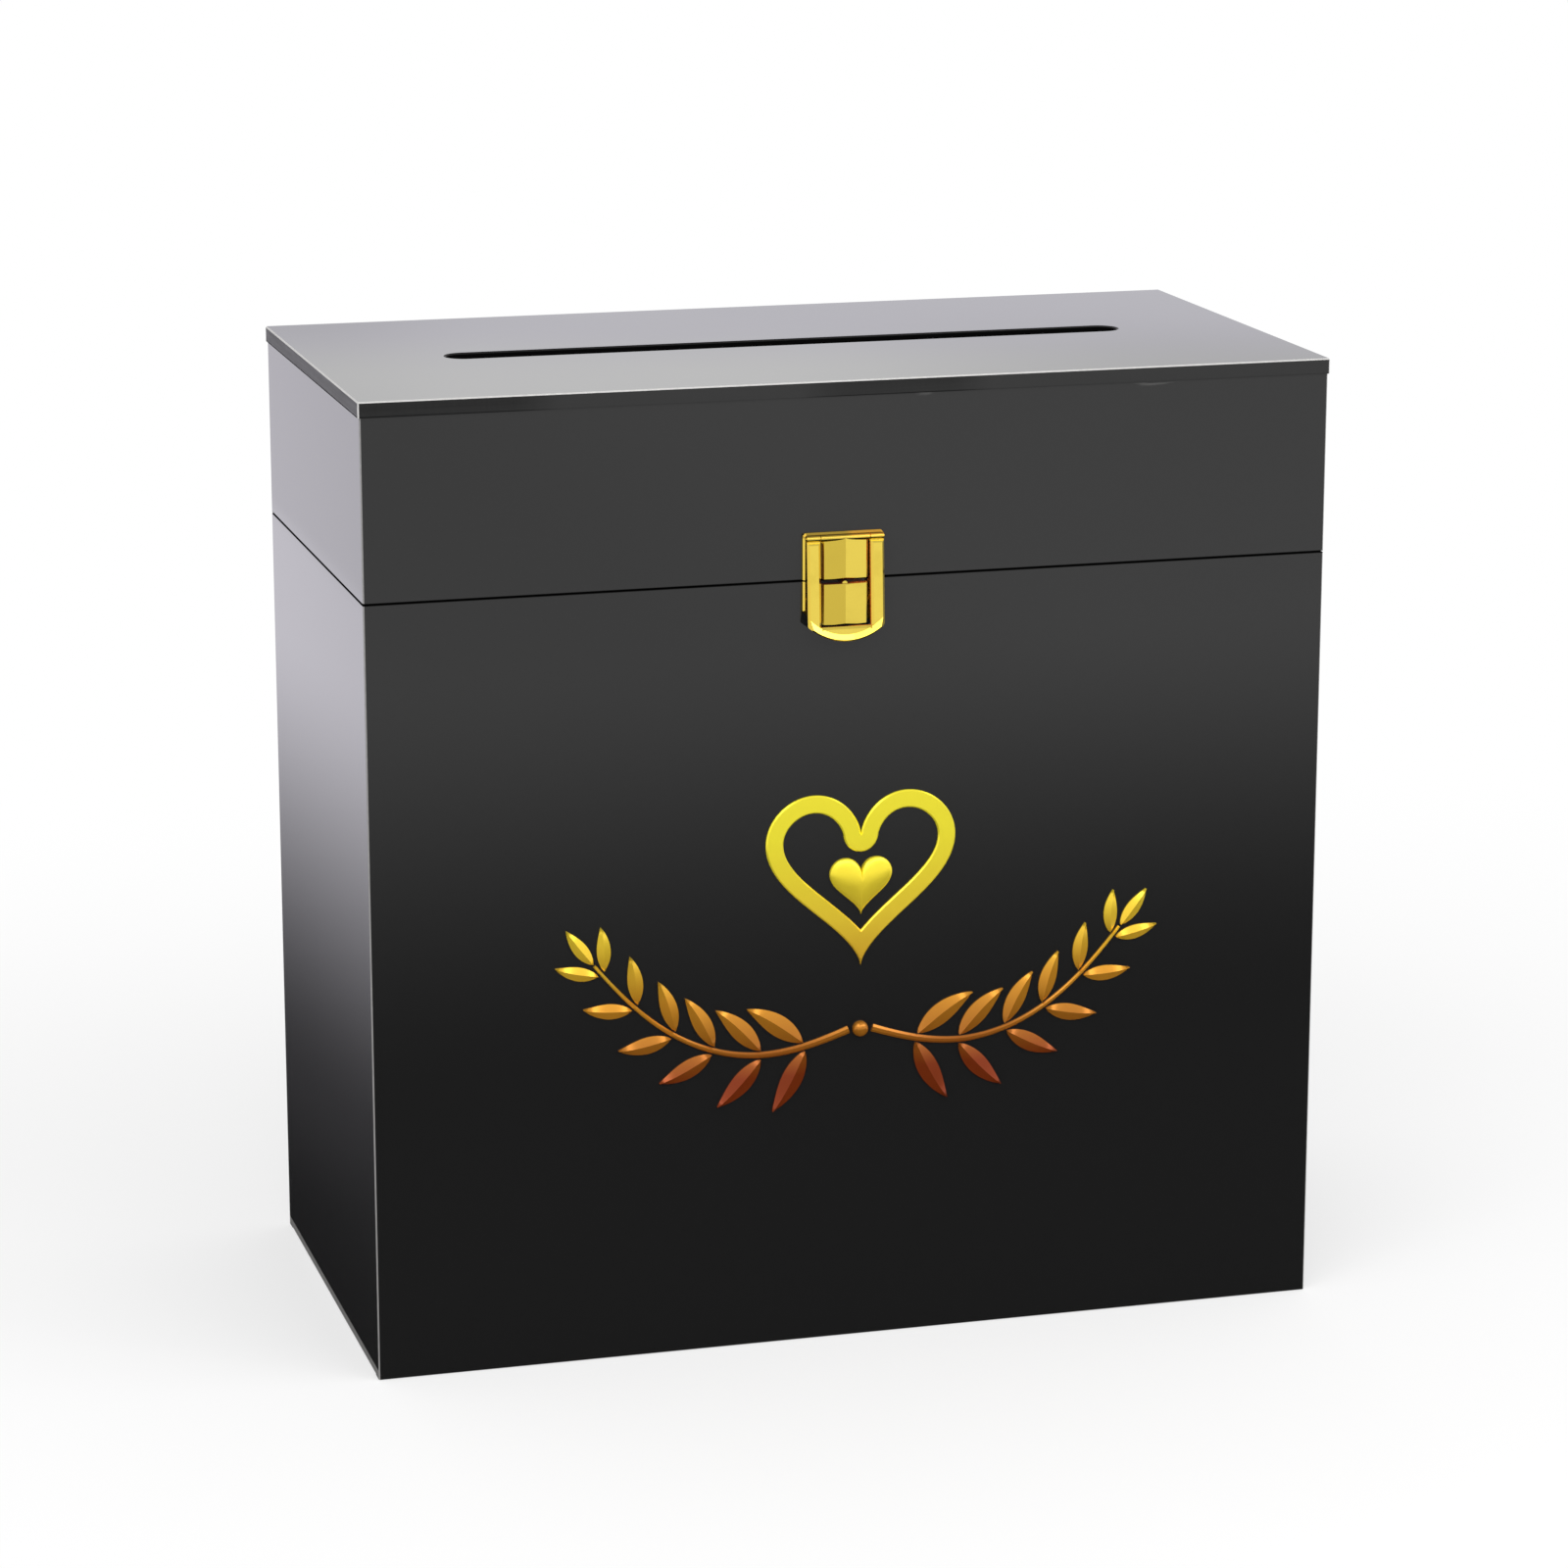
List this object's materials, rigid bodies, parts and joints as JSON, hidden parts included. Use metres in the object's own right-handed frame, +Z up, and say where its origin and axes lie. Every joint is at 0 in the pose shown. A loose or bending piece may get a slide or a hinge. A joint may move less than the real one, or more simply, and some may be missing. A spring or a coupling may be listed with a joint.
{
  "type": "wedding card box",
  "caption": "Upright box of glossy black acrylic sheet for wedding cards, with a slotted lid hinged at the back and a gold hasp clasp on the front.",
  "frame": {"origin": "middle of the underside, on the surface the box stands on", "axes": "+X to the right seen from the front, +Y to the back, +Z up"},
  "size_m": [0.254, 0.1374, 0.253],
  "materials": {
    "black_acrylic": "polished black cast sheet with scraped edges",
    "hinge_gold": "bright gold plating",
    "clasp_gold": "bright gold plating",
    "plated_steel": "plain zinc plating"
  },
  "bodies": {
    "base": {"front_panel": "black_acrylic", "back_panel": "black_acrylic", "left_panel": "black_acrylic", "right_panel": "black_acrylic", "bottom_panel": "black_acrylic", "hinge_left_base_leaf": "hinge_gold", "hinge_left_pin": "hinge_gold", "hinge_right_base_leaf": "hinge_gold", "hinge_right_pin": "hinge_gold", "hinge_base_screws": "hinge_gold", "hinge_base_nuts": "plated_steel", "clasp_catch_plate": "clasp_gold", "clasp_catch_rivets": "clasp_gold"},
    "lid": {"lid_top_panel": "black_acrylic", "lid_front_panel": "black_acrylic", "lid_back_panel": "black_acrylic", "lid_left_panel": "black_acrylic", "lid_right_panel": "black_acrylic", "hinge_left_lid_leaf": "hinge_gold", "hinge_right_lid_leaf": "hinge_gold", "hinge_lid_screws": "hinge_gold", "hinge_lid_nuts": "plated_steel", "clasp_lid_plate": "clasp_gold", "clasp_pin": "clasp_gold", "clasp_lid_rivets": "clasp_gold"},
    "clasp_flap": {"clasp_flap": "clasp_gold"}
  },
  "joints": [
    {"name": "lid_hinge", "type": "hinge", "parent": "base", "child": "lid", "pos_m": [0, 0.06635, 0.2024], "axis": [-1, 0, 0], "range_deg": [0, 180]},
    {"name": "clasp_hinge", "type": "hinge", "parent": "lid", "child": "clasp_flap", "pos_m": [-0.0035, -0.06595, 0.2133], "axis": [-1, 0, 0], "range_deg": [-3, 165]}
  ]
}
